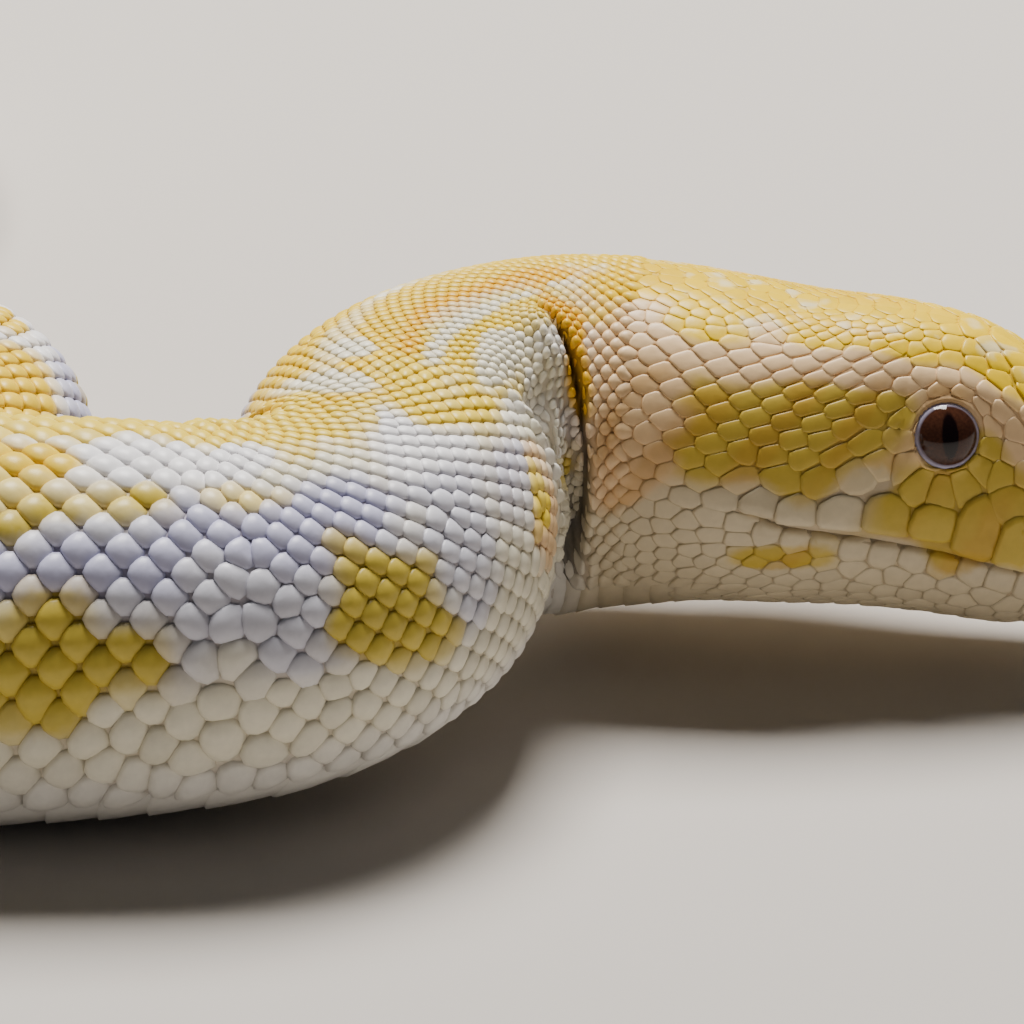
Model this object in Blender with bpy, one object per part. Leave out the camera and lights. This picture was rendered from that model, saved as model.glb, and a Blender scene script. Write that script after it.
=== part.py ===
"""Albino Burmese python (Python bivittatus), life size, lying in folded loops with its neck drawn
back in a tight S and its head held just above the ground.

Metres, +Z up, floor at Z = 0, head towards +X. The backbone is a path of runs, walked from the
snout to the tail: each run has a length and the heading that it ends on, and the bends are eased
into each other. Every section of the body hangs on that path. "Side" is positive on the snake's
right, which is the left hand of someone walking from the snout to the tail.
"""

import math

import bmesh
import bpy
import numpy as np
from mathutils import Vector

# The path of the backbone.
SNOUT = (0.2743, -0.0825)  # plan position of the snout tip
SNOUT_HEADING = 173.5  # degrees from +X, looking from the snout towards the tail
STEP = 0.001  # spacing of the path's samples
EASE = 0.020  # length over which one run's bend turns into the next
RISE_EASE = 0.016  # the same for the height of the axis
RUNS = (  # length, heading at its end in degrees
    (0.0715, 173.5),  # head
    (0.0400, 273.0),  # neck, drawn back
    (0.0360, 178.0),  # and folded the other way
    (0.120, 181.0),  # fore body
    (0.186, 174.0),
    (0.140, 97.0),  # wide loop
    (0.205, 2.0),
    (0.085, -3.0),
    (0.083, 2.0),
    (0.126, -178.0),  # hairpin
    (0.100, -184.0),
    (0.095, -180.0),
    (0.101, -1.0),  # hairpin
    (0.120, -2.0),
    (0.134, -5.5),
    (0.060, -181.0),  # tight fold at the vent
    (0.094, -182.0),
    (0.160, -188.0),  # tail
)
LENGTH = 1.96

# The form of the head, from the snout back.
HEAD = 0.066  # snout to the back of the jaws
HEAD_TILT = 7.5  # degrees, snout down
TILTED = 0.058  # the tilt runs from the snout to here
SNOUT_HEIGHT = 0.0205  # axis at the snout tip
SNOUT_ROUND = (0.0110, 0.0080)  # how far back the snout's rounding runs, in plan and in profile
ROUNDING = 2.2  # power of the curve that rounds the snout and the tail's tip
HEAD_FORM = (  # distance, half width, rise, drop, squareness above and below, narrowing upwards
    (0.000, 0.0095, 0.0060, 0.0112, 2.3, 2.4, 0.20),
    (0.008, 0.0114, 0.0128, 0.0142, 2.4, 2.4, 0.25),
    (0.016, 0.0130, 0.0176, 0.0169, 2.6, 2.4, 0.27),
    (0.026, 0.0149, 0.0215, 0.0165, 2.7, 2.4, 0.28),
    (0.036, 0.0178, 0.0219, 0.0168, 2.7, 2.3, 0.27),
    (0.046, 0.0208, 0.0208, 0.0180, 2.6, 2.2, 0.24),
    (0.055, 0.0216, 0.0210, 0.0192, 2.4, 2.2, 0.16),
    (0.065, 0.0204, 0.0222, 0.0212, 2.2, 2.1, 0.05),
    (0.076, 0.0200, 0.0226, 0.0226, 2.1, 2.1, 0.00),
)

# The form of the body.
BODY_SECTION = (1.03, 1.00, 0.92)  # half width, rise and drop, against the radius
BODY_SQUARENESS = (2.1, 2.4)  # above and below
BELLY = 1.04  # the belly is cut flat where the section would drop further than this share
TIP_ROUND = 0.003  # length of the rounding at the tip of the tail
SOFTEN = 0.012  # the tables of the form are eased over this length
GIRTH = (  # distance from the snout, radius
    (0.090, 0.0214),
    (0.105, 0.0208),
    (0.125, 0.0208),
    (0.155, 0.0238),
    (0.180, 0.0250),
    (0.300, 0.0260),
    (0.520, 0.0285),
    (0.800, 0.0300),
    (1.050, 0.0295),
    (1.300, 0.0265),
    (1.480, 0.0236),
    (1.620, 0.0188),
    (1.700, 0.0160),
    (1.760, 0.0142),
    (1.860, 0.0090),
    (1.960, 0.0022),
)
LIFT = (0.090, 0.190)  # between these the body comes down from the head's height to the floor
FLAT = 0.0003  # skin nearer to the floor than this lies on it
SIDES = 20
HEAD_SIDES = 32
MOST_TURN = math.radians(15)  # between two sections
MOST_SPACING = 0.014
CUT = 0.0003  # gap between neighbouring nodes
HEAD_SECTIONS = 22
CROWDING = 1.6  # above 1, the head's sections stand closer together towards the snout
FIRST_SECTION = 0.04  # share of the sections' run that is left off at the snout
SHARP = math.radians(50)

# The mouth and the eyes.
MOUTH = (  # distance from the snout, height of the closed lips above the axis
    (-0.004, -0.0080),
    (0.006, -0.0074),
    (0.016, -0.0063),
    (0.026, -0.0044),
    (0.036, -0.0029),
    (0.045, -0.0020),
    (0.051, -0.0002),
)
EYE = 0.0276  # distance of the eyes from the snout
EYE_ANGLE = math.radians(66.5)
EYE_RADIUS = 0.0050
EYE_SUNK = 0.0030  # the eyeball's centre below the skin
BLOCK = (0.030, 0.040)  # half width and depth of the block that parts the jaws


def eased(values, width):
    """Values at every STEP, averaged over this width with a smooth window."""
    half = max(1, round(width / STEP / 2))
    window = np.hanning(2 * half + 3)[1:-1]
    padded = np.pad(values, half, mode="edge")
    return np.convolve(padded, window / window.sum(), mode="valid")


def form_table():
    """Half width, rise, drop, two squarenesses and narrowing at every STEP of the path."""
    rows = list(HEAD_FORM)
    for distance, radius in GIRTH:
        sizes = [radius * share for share in BODY_SECTION]
        rows.append((distance, *sizes, *BODY_SQUARENESS, 0.0))
    rows = np.array(rows)
    at = np.arange(round(LENGTH / STEP) + 1) * STEP
    table = [eased(np.interp(at, rows[:, 0], column), SOFTEN) for column in rows.T[1:]]
    return np.array(table)


def spine_table():
    """Plan position, axis height, heading and slope at every STEP of the path."""
    bend, before = [], SNOUT_HEADING
    for length, after in RUNS:
        count = round(length / STEP)
        bend += [math.radians(after - before) / count] * count
        before = after
    count = round(LENGTH / STEP) + 1
    bend = eased(np.array(bend + [bend[-1]] * count)[:count], EASE)
    heading = math.radians(SNOUT_HEADING) + np.concatenate([[0], np.cumsum(bend)[:-1]])
    x = SNOUT[0] + np.concatenate([[0], np.cumsum(np.cos(heading))[:-1]]) * STEP
    y = SNOUT[1] + np.concatenate([[0], np.cumsum(np.sin(heading))[:-1]]) * STEP
    at = np.arange(count) * STEP
    lifted = SNOUT_HEIGHT + np.minimum(at, TILTED) * math.sin(math.radians(HEAD_TILT))
    share = np.clip((at - LIFT[0]) / (LIFT[1] - LIFT[0]), 0, 1)
    share = share * share * (3 - 2 * share)
    height = eased(lifted * (1 - share) + FORM[2] * share, RISE_EASE)
    slope = np.arctan(np.gradient(height, STEP))
    return np.array([x, y, height, heading, slope])


FORM = form_table()
SPINE = spine_table()


def read(table, s):
    """The table's columns at a distance s along the path."""
    at = np.clip(np.asarray(s, float) / STEP, 0, table.shape[1] - 1)
    low = np.minimum(at.astype(int), table.shape[1] - 2)
    return table[:, low] * (1 - (at - low)) + table[:, low + 1] * (at - low)


def end_rounding(s, reach):
    """Share of the full size at a distance s from an end that is rounded over this reach."""
    back = np.clip(1 - s / reach, 0, 1)
    return (1 - back**ROUNDING) ** (1 / ROUNDING)


def section(s, angle):
    """Side and height from the axis of the skin, at an angle round the body from the back."""
    wide, rise, drop, above, below, narrowing = read(FORM, s)
    end = end_rounding(LENGTH - s, TIP_ROUND)
    wide = wide * end_rounding(s, SNOUT_ROUND[0]) * end
    tall = end_rounding(s, SNOUT_ROUND[1]) * end
    sine, cosine = np.sin(angle), np.cos(angle)
    square = np.where(cosine > 0, above, below)
    side = wide * np.sign(sine) * np.abs(sine) ** (2 / square)
    up = np.abs(cosine) ** (2 / square)
    side = side * (1 - narrowing * np.where(cosine > 0, up, 0))
    return side, np.where(cosine > 0, rise * up, -drop * np.minimum(BELLY * up, 1)) * tall


def skin_point(s, angle):
    """World position of the skin at a distance along the path and an angle from the back."""
    x, y, height, heading, slope = read(SPINE, s)
    side, up = section(s, angle)
    px = x - np.sin(heading) * side - np.cos(heading) * np.sin(slope) * up
    py = y + np.cos(heading) * side - np.sin(heading) * np.sin(slope) * up
    pz = height + np.cos(slope) * up
    return np.stack([px, py, np.where(pz < FLAT, 0, pz)], -1)


def head_point(s, side, up):
    """World position of a point beside and above the head's axis, which is straight."""
    x, y, height, heading, slope = read(SPINE, max(s, 0.0))
    x += (s - max(s, 0.0)) * math.cos(heading)
    y += (s - max(s, 0.0)) * math.sin(heading)
    return (x - math.sin(heading) * side, y + math.cos(heading) * side, height + up)


def stations(start, end):
    """Distances of the sections between two cuts, closer together where the body bends."""
    at = np.linspace(start, end, round((end - start) / STEP) + 1)
    bend = np.abs(np.gradient(read(SPINE, at)[3], at))
    need = np.maximum(bend / MOST_TURN, 1 / MOST_SPACING)
    passed = np.concatenate([[0], np.cumsum((need[1:] + need[:-1]) / 2 * np.diff(at))])
    return np.interp(np.linspace(0, passed[-1], math.ceil(passed[-1]) + 1), passed, at)


def material(name, colour, roughness):
    made = bpy.data.materials.new(name)
    made.use_nodes = True
    shader = made.node_tree.nodes["Principled BSDF"]
    shader.inputs["Base Color"].default_value = (*colour, 1)
    shader.inputs["Roughness"].default_value = roughness
    shader.inputs["Metallic"].default_value = 0
    made.diffuse_color = (*colour, 1)
    return made


def add(name, mesh, collection, surface=None):
    """A new object with this bmesh, in this collection."""
    data = bpy.data.meshes.new(name)
    bmesh.ops.recalc_face_normals(mesh, faces=mesh.faces)
    mesh.to_mesh(data)
    mesh.free()
    if surface:
        data.materials.append(surface)
        data.shade_smooth()
        data.set_sharp_from_angle(angle=SHARP)
    made = bpy.data.objects.new(name, data)
    collection.objects.link(made)
    return made


def loft(distances, sides):
    """A closed length of the body, with a section at each distance."""
    mesh = bmesh.new()
    angles = np.linspace(0, 2 * math.pi, sides, endpoint=False)
    rings = []
    for distance in distances:
        points = skin_point(np.full(sides, distance), angles)
        rings.append([mesh.verts.new(point) for point in points])
    for before, after in zip(rings, rings[1:]):
        for i in range(sides):
            j = (i + 1) % sides
            mesh.faces.new((before[i], before[j], after[j], after[i]))
    mesh.faces.new(rings[0])
    mesh.faces.new(rings[-1])
    return mesh


def body_length(name, start, end, collection, surface):
    """A length of the body between two thin cuts, or to the tip of the tail."""
    last = end - CUT / 2 if end < LENGTH else LENGTH - CUT
    return add(name, loft(stations(start + CUT / 2, last), SIDES), collection, surface)


def whole_head(name, collection, surface):
    """The head with its mouth and sockets still uncut."""
    share = np.linspace(FIRST_SECTION, 1, HEAD_SECTIONS) ** CROWDING
    return add(name, loft((HEAD - CUT / 2) * share, HEAD_SIDES), collection, surface)


def jaw_block(name, grown, collection):
    """A block that holds everything below the lips, grown on its top and back by a gap."""
    wide, deep = BLOCK
    mesh = bmesh.new()
    outline = [(s, up + grown) for s, up in MOUTH]
    outline[-1] = (outline[-1][0] + grown, outline[-1][1])
    outline += [(outline[-1][0], -deep), (outline[0][0], -deep)]
    verts = [mesh.verts.new(head_point(s, -wide, up)) for s, up in outline]
    face = mesh.faces.new(verts)
    extruded = bmesh.ops.extrude_face_region(mesh, geom=[face])["geom"]
    moved = [v for v in extruded if isinstance(v, bmesh.types.BMVert)]
    across = Vector(head_point(0, wide, 0)) - Vector(head_point(0, -wide, 0))
    bmesh.ops.translate(mesh, verts=moved, vec=across)
    return add(name, mesh, collection)


def eye_place(hand):
    """Centre of the eyeball on this side, and the outward normal of the skin over it."""
    angle = hand * EYE_ANGLE
    little = 0.05
    here = Vector(skin_point(EYE, angle))
    along = Vector(skin_point(EYE + STEP, angle)) - Vector(skin_point(EYE - STEP, angle))
    around = Vector(skin_point(EYE, angle + little) - skin_point(EYE, angle - little))
    normal = along.cross(around).normalized()
    return here - normal * EYE_SUNK, normal


def ball(name, hand, radius, collection, surface=None):
    """An eyeball, or the hollow that it sits in."""
    mesh = bmesh.new()
    bmesh.ops.create_uvsphere(mesh, u_segments=20, v_segments=12, radius=radius)
    made = add(name, mesh, collection, surface)
    centre, normal = eye_place(hand)
    made.location = centre
    made.rotation_euler = normal.to_track_quat("Z", "Y").to_euler()
    return made


def cut(target, cutter, operation):
    cutter.hide_render = True
    cutter.display_type = "WIRE"
    modifier = target.modifiers.new(cutter.name, "BOOLEAN")
    modifier.operation = operation
    modifier.solver = "EXACT"
    modifier.object = cutter


def head_nodes(parts, cutters, surface, eye_surface):
    """The head, the lower jaw and the two eyes."""
    head = whole_head("head", parts, surface)
    jaw = whole_head("lower_jaw", parts, surface)
    cut(head, jaw_block("below_lips_gap", CUT, cutters), "DIFFERENCE")
    cut(jaw, jaw_block("below_lips", 0.0, cutters), "INTERSECT")
    for side, hand in (("left", -1), ("right", 1)):
        ball("eye_" + side, hand, EYE_RADIUS, parts, eye_surface)
        socket = ball("socket_" + side, hand, EYE_RADIUS + CUT, cutters)
        cut(head, socket, "DIFFERENCE")


def body_nodes(parts, surface):
    """The neck, the trunk and the tail, cut where one run of the path gives way to the next."""
    ends = np.cumsum([length for length, _ in RUNS])
    trunk = [ends[1], ends[2] + EASE, *ends[[4, 5, 6, 8, 9, 11, 12, 14, 15]]]
    body_length("neck", HEAD, trunk[0], parts, surface)
    for number, (start, end) in enumerate(zip(trunk, trunk[1:]), 1):
        body_length(f"trunk_{number:02d}", start, end, parts, surface)
    tail = (trunk[-1] + LENGTH) / 2
    body_length("tail_base", trunk[-1], tail, parts, surface)
    body_length("tail_tip", tail, LENGTH, parts, surface)


def main():
    for old in list(bpy.data.objects):
        bpy.data.objects.remove(old)
    parts = bpy.data.collections.new("Burmese python")
    cutters = bpy.data.collections.new("Cutters")
    bpy.context.scene.collection.children.link(parts)
    bpy.context.scene.collection.children.link(cutters)
    skin = material("scaled skin", (0.83, 0.68, 0.30), 0.42)
    eye = material("eye", (0.10, 0.03, 0.02), 0.08)
    head_nodes(parts, cutters, skin, eye)
    body_nodes(parts, skin)


main()
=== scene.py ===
"""Looks of a live albino Burmese python lying in folded loops: one skin, the scales that lie on it,
the belly plates, the head's plates and the eyes. Metres, in the frame of the solids.

Distances along the body run from the snout to the tail. Angles run round the body from the back:
positive on the snake's right, and half a turn at the belly.
"""

from math import cos, degrees, pi, radians, sin

import bpy
import numpy as np
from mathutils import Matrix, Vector, bvhtree, kdtree


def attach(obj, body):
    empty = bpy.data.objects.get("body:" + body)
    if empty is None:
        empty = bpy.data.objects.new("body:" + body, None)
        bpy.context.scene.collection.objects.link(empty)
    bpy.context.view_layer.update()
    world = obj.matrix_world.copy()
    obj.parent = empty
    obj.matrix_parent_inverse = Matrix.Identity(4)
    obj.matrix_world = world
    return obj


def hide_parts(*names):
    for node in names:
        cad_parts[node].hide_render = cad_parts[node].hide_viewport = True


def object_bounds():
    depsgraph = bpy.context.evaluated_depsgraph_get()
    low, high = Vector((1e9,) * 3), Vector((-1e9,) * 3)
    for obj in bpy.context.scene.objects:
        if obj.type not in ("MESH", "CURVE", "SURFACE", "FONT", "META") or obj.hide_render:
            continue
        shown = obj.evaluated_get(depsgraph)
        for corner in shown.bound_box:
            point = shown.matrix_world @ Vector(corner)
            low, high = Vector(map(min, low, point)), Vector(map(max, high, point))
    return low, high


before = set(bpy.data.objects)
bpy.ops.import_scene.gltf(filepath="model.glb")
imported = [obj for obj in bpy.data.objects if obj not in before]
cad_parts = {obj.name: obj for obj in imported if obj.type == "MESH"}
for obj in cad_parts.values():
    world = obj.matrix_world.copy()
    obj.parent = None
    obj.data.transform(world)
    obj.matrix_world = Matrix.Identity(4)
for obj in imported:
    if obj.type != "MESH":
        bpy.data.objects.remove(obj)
CAD_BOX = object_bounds()

# The path of the backbone and the form of the body, as in the solids.
SNOUT = (CAD_BOX[1][0], -0.0825)
SNOUT_HEADING = 173.5
STEP = 0.001
EASE = 0.02
RISE_EASE = 0.016
RUNS = (  # length, heading at its end in degrees
    (0.0715, 173.5), (0.04, 273), (0.036, 178), (0.12, 181), (0.186, 174), (0.14, 97),
    (0.205, 2), (0.085, -3), (0.083, 2), (0.126, -178), (0.1, -184), (0.095, -180),
    (0.101, -1), (0.12, -2), (0.134, -5.5), (0.06, -181), (0.094, -182), (0.16, -188),
)
LENGTH = 1.96
HEAD_TILT = 7.5
TILTED = 0.058
SNOUT_HEIGHT = 0.0205
SNOUT_ROUND = (0.011, 0.008)
ROUNDING = 2.2
HEAD_FORM = (  # distance, half width, rise, drop, squareness above and below, narrowing upwards
    (0.000, 0.0095, 0.0060, 0.0112, 2.3, 2.4, 0.20),
    (0.008, 0.0114, 0.0128, 0.0142, 2.4, 2.4, 0.25),
    (0.016, 0.0130, 0.0176, 0.0169, 2.6, 2.4, 0.27),
    (0.026, 0.0149, 0.0215, 0.0165, 2.7, 2.4, 0.28),
    (0.036, 0.0178, 0.0219, 0.0168, 2.7, 2.3, 0.27),
    (0.046, 0.0208, 0.0208, 0.0180, 2.6, 2.2, 0.24),
    (0.055, 0.0216, 0.0210, 0.0192, 2.4, 2.2, 0.16),
    (0.065, 0.0204, 0.0222, 0.0212, 2.2, 2.1, 0.05),
    (0.076, 0.0200, 0.0226, 0.0226, 2.1, 2.1, 0.00),
)
BODY_SECTION = (1.03, 1.0, 0.92)
BODY_SQUARENESS = (2.1, 2.4)
BELLY = 1.04
TIP_ROUND = 0.003
SOFTEN = 0.012
GIRTH = (  # distance, radius
    (0.09, 0.0214), (0.105, 0.0208), (0.125, 0.0208), (0.155, 0.0238), (0.18, 0.025),
    (0.3, 0.026), (0.52, 0.0285), (0.8, 0.03), (1.05, 0.0295), (1.3, 0.0265), (1.48, 0.0236),
    (1.62, 0.0188), (1.7, 0.016), (1.76, 0.0142), (1.86, 0.009), (1.96, 0.0022),
)
LIFT = (0.09, 0.19)
FLAT = 0.0003
MOUTH = (  # distances, and heights of the closed lips above the axis
    (-0.004, 0.006, 0.016, 0.026, 0.036, 0.045, 0.051),
    (-0.008, -0.0074, -0.0063, -0.0044, -0.0029, -0.002, -0.0002),
)
MOUTH_END = 0.0515
EYE = 0.0276
EYE_ANGLE = radians(66.5)
EYE_RADIUS = 0.005
EYE_SUNK = 0.003
EYE_EDGE = 0.0044  # the rim of skin round the eyeball
EYE_RING = 0.0058  # from the eye's middle to the small plates round it
EYE_PLATES = 13
NOSTRIL = (0.0052, radians(50))
NOSTRIL_EDGE = 0.0008
SNOUT_FACE = 0.009  # plates ahead of this are set on the skin one point at a time
SNOUT_END = 0.0115  # plates ahead of this are laid out round the tip of the snout
ROSTRAL = (0.0007, pi, 0.0056, 0.0052)  # the plate at the tip of the snout, over the mouth
UPPER_LIP = (  # distances of its plates and their middles' heights over the mouth, in millimetres
    (2.8, 7.2, 11.8, 16.6, 21.8, 27.4, 33.2, 39.0, 44.5, 49.0),
    (2.1, 2.4, 2.7, 3.2, 3.8, 4.0, 3.6, 3.0, 2.6, 2.1),
)
CREASE = (  # degrees from the back towards the right, and distances in millimetres
    (17, 30, 45, 60, 80, 100, 130),
    (82.0, 79.6, 76.6, 74.2, 72.9, 74.0, 78.0),
)

# The coat.
HEAD_END = 0.0665  # behind here the scales stand in columns
THROAT = 0.056  # the belly plates begin here
BELLY_EDGE = radians(128)  # the belly plates begin here on each side
SCALE_SIZE = (  # distances, widths round the body, spacings along it, at the middle of the flank
    (0.06, 0.095, 0.12, 0.135, 0.15, 0.17, 0.3, 0.8, 1.3, 1.6, 1.76, 1.9, 1.96),
    (2.5, 2.5, 3.2, 4.4, 5.6, 6.2, 6.4, 7.1, 6.4, 4.7, 3.5, 2.0, 1.2),
    (2.9, 3.2, 3.7, 4.4, 5.4, 6.0, 6.6, 7.6, 7.0, 5.6, 4.6, 3.2, 2.2),
)
NARROWER_ON_BACK = 0.82  # share of the flank's width
GROWTH = 1.18 - NARROWER_ON_BACK  # from the back to the belly plates
ROUNDS = 60  # of pushing the plates of the head apart
NEIGHBOURS = 12  # that shape a scale
ALIKE = 0.3  # cosine between the ways out of two scales that lie side by side
ONE_LOOP = 0.02  # scales farther apart than this may be on different loops
BELLY_POINTS = 15  # across a belly plate
FINE_END = 0.21  # the scales ahead of this have finer outlines
MOST_TRIANGLES = 190000  # in one piece
RINGS = (  # share of a scale's outline, share of its patch in OFBake, painted shade that darkens its rim
    (1.00, 1.00, 0.62),
    (0.965, 0.88, 0.92),
    (0.80, 0.70, 1.00),
    (0.45, 0.38, 1.00),
)
HEAD_SCALE = dict(dome=0.055, tilt=0.04, bulk=1.07, own=0.35, power=2.6)
BODY_SCALE = dict(dome=0.19, tilt=0.06, bulk=1.16, own=0.65, power=1.9)

CREAM = "ECE5CE"
IVORY = "EBE7DE"
YELLOW = "F0D246"
GOLD = "EFCA34"
AMBER = "ECB61C"
MUSTARD = "CEB649"
LAVENDER = "C2C1DB"
LILAC = "D5D4DE"
WHITE = "F2F0F2"
PINK = "ECC899"
CROWN = "F2CA04"
CHEEK = "CEB146"
OCHRE = "BE8A2C"
# JAW: the pale warm beige of the head's underside, set a little darker as painted shade.
JAW = "D9C9A8"
BETWEEN = "C0946A"  # the stretchy skin between the scales
FORE_MARKS = (  # colour, distance in mm and half length, angle from the back and half height, slant
    (YELLOW, 140, 50, -22, 25, 0), (WHITE, 150, 17, 9, 11, 0), (WHITE, 122, 7, 24, 20, 0.1),
    (CREAM, 134, 6, 20, 9, 0), (LILAC, 146, 24, 55, 30, 0), (LAVENDER, 139, 10, 40, 14, -0.1),
    (LAVENDER, 162, 16, 51, 8, 0.1), (MUSTARD, 153, 4, 28, 4.5, 0), (MUSTARD, 162, 4, 31, 4.5, 0),
    (MUSTARD, 171, 6, 36, 4.5, 0), (GOLD, 165, 7, 11, 7, 0), (MUSTARD, 133.3, 3.8, 73, 24, 0),
    (MUSTARD, 165, 15, 79, 18, 0), (PINK, 114, 4.5, 76, 17, 0.05), (YELLOW, 115.5, 1.8, 70, 9, 0.06),
    (MUSTARD, 88, 12, 82, 4, 0), (GOLD, 104, 20, -44, 24, 0), (YELLOW, 100, 18, 14, 32, 0.1),
    (GOLD, 92, 25, -10, 17, 0.12), (CREAM, 113, 3, -20, 18, 0.1), (CREAM, 106, 2, -12, 9, 0.1),
    (AMBER, 86, 19, 3, 6, 0.05), (CREAM, 96, 14, 14, 3, 0.1), (CREAM, 98, 11, 33, 8, 0.1),
    (IVORY, 95, 13, 66, 14, 0), (AMBER, 75.6, 3.2, 44, 28, -0.085),
)
HEAD_MARKS = (
    (CHEEK, 47.5, 16, 67, 17, 0), (CHEEK, 14, 22, 86, 18, 0), (CHEEK, 45, 6, 107, 6, 0),
    (JAW, 36, 3, 82, 4, 0), (PINK, 67, 7, 58, 36, 0), (CROWN, 36, 60, 0, 28, 0),
    (CROWN, 16, 17, 22, 22, 0), (AMBER, 75.6, 3.2, 44, 28, -0.085),
)

join = np.concatenate


def linear(code):
    """Linear colour from an sRGB hex value."""
    shares = np.array([int(code[i : i + 2], 16) / 255 for i in (0, 2, 4)])
    return np.where(shares <= 0.04045, shares / 12.92, ((shares + 0.055) / 1.055) ** 2.4)


def wrapped(angle):
    return np.arctan2(np.sin(angle), np.cos(angle))


def ring_turns(count):
    """Angles of so many points round a ring."""
    return np.arange(count) * 2 * pi / count


def measure(offset):
    return np.linalg.norm(offset, axis=-1)


def unit(way):
    return way / np.maximum(measure(way), 1e-12)[..., None]


def rising(value, low, high):
    """0 below the low end and 1 above the high end, with a smooth step between."""
    share = np.clip((value - low) / (high - low), 0, 1)
    return share * share * (3 - 2 * share)


def falling(value, low, high):
    return rising(-value, -high, -low)


def hill(value, middle, width):
    return np.exp(-(((value - middle) / width) ** 2))


# The body's surface.


def summed(values):
    """The sum of the values ahead of each one."""
    return join([[0], np.cumsum(values)[:-1]])


def eased(values, width):
    """The values after a moving mean that is this wide along the body."""
    half = max(1, round(width / STEP / 2))
    window = np.hanning(2 * half + 3)[1:-1]
    padded = np.pad(values, half, mode="edge")
    return np.convolve(padded, window / window.sum(), mode="valid")


def form_table():
    """The section at each step along the body."""
    rows = list(HEAD_FORM)
    for distance, radius in GIRTH:
        sizes = [radius * share for share in BODY_SECTION]
        rows.append((distance, *sizes, *BODY_SQUARENESS, 0.0))
    rows = np.array(rows)
    at = np.arange(round(LENGTH / STEP) + 1) * STEP
    return np.array([eased(np.interp(at, rows[:, 0], column), SOFTEN) for column in rows.T[1:]])


def spine_table():
    """Place, heading and slope of the backbone at each step along it."""
    bend, before = [], SNOUT_HEADING
    for length, after in RUNS:
        count = round(length / STEP)
        bend += [radians(after - before) / count] * count
        before = after
    count = round(LENGTH / STEP) + 1
    bend = eased(np.array(bend + [bend[-1]] * count)[:count], EASE)
    heading = radians(SNOUT_HEADING) + summed(bend)
    x = SNOUT[0] + summed(np.cos(heading)) * STEP
    y = SNOUT[1] + summed(np.sin(heading)) * STEP
    at = np.arange(count) * STEP
    lifted = SNOUT_HEIGHT + np.minimum(at, TILTED) * sin(radians(HEAD_TILT))
    share = rising(at, *LIFT)
    height = eased(lifted * (1 - share) + FORM[2] * share, RISE_EASE)
    return np.array([x, y, height, heading, np.arctan(np.gradient(height, STEP))])


FORM = form_table()
SPINE = spine_table()


def read(table, s):
    at = np.clip(np.asarray(s, float) / STEP, 0, table.shape[1] - 1)
    low = np.minimum(at.astype(int), table.shape[1] - 2)
    return table[:, low] * (1 - (at - low)) + table[:, low + 1] * (at - low)


def end_rounding(s, reach):
    back = np.clip(1 - s / reach, 0, 1)
    return (1 - back**ROUNDING) ** (1 / ROUNDING)


def section(s, angle):
    """Side and height from the axis of the solids' surface."""
    wide, rise, drop, above, below, narrowing = read(FORM, s)
    end = end_rounding(LENGTH - s, TIP_ROUND)
    wide = wide * end_rounding(s, SNOUT_ROUND[0]) * end
    tall = end_rounding(s, SNOUT_ROUND[1]) * end
    sine, cosine = np.sin(angle), np.cos(angle)
    square = np.where(cosine > 0, above, below)
    side = wide * np.sign(sine) * abs(sine) ** (2 / square)
    up = abs(cosine) ** (2 / square)
    side = side * (1 - narrowing * np.where(cosine > 0, up, 0))
    return side, np.where(cosine > 0, rise * up, -drop * np.minimum(BELLY * up, 1)) * tall


def solid_point(s, angle):
    x, y, height, heading, slope = read(SPINE, s)
    side, up = section(s, angle)
    px = x - np.sin(heading) * side - np.cos(heading) * np.sin(slope) * up
    py = y + np.cos(heading) * side - np.sin(heading) * np.sin(slope) * up
    pz = height + np.cos(slope) * up
    return np.stack([px, py, np.where(pz < FLAT, 0, pz)], -1)


def slopes(s, angle, form=solid_point, along=0.0004):
    """The surface's change along the body and round it."""
    around = 0.02
    back, front = np.maximum(s - along, 0), np.minimum(s + along, LENGTH)
    ahead = (form(front, angle) - form(back, angle)) / (front - back)[..., None]
    turn = (form(s, angle + around) - form(s, angle - around)) / (2 * around)
    return ahead, turn


def squeezed(s, angle):
    """Length of skin for each length of backbone: under 1 on the inside of a bend."""
    return measure(slopes(s, angle)[0])


def footing(s, angle, form=solid_point):
    """Where a scale stands, the two ways along and round the body, the way out, and how much skin a
    step in each of the first two covers."""
    ahead, turn = slopes(s, angle, form, 0.0008)
    ways = np.stack([unit(ahead), unit(turn)])
    return form(s, angle), ways, unit(np.cross(*ways)), measure(ahead), measure(turn)


def eye_place(hand):
    """Centre of the eyeball on this side, and the outward normal of the skin over it."""
    out = unit(np.cross(*slopes(EYE, hand * EYE_ANGLE)))
    return solid_point(EYE, hand * EYE_ANGLE) - out * EYE_SUNK, out


def eye_relief(points):
    """The skin dips under each eyeball and stands up in a narrow rim around it."""
    height = np.zeros(points.shape[:-1])
    for hand in (-1, 1):
        centre, out = eye_place(hand)
        offset = points - centre
        depth = offset @ out
        radial = measure(offset - depth[..., None] * out)
        relief = 0.0005 * hill(radial, EYE_EDGE, 0.0005) - 0.0028 * falling(radial, 0.0034, 0.0042)
        height = height + np.where(depth > -0.002, relief, 0)
    return height


def above_mouth(s, angle):
    """Height above the line of the closed lips."""
    return section(s, angle)[1] - np.interp(s, *MOUTH)


def in_mouth(s):
    """1 beside the mouth and 0 behind its corners."""
    return falling(s, 0.048, MOUTH_END)


def nostril_share(s, angle):
    """1 in the middle of each nostril and 0 away from it."""
    return hill(s, NOSTRIL[0], NOSTRIL_EDGE) * hill(abs(wrapped(angle)), NOSTRIL[1], 0.1)


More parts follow.
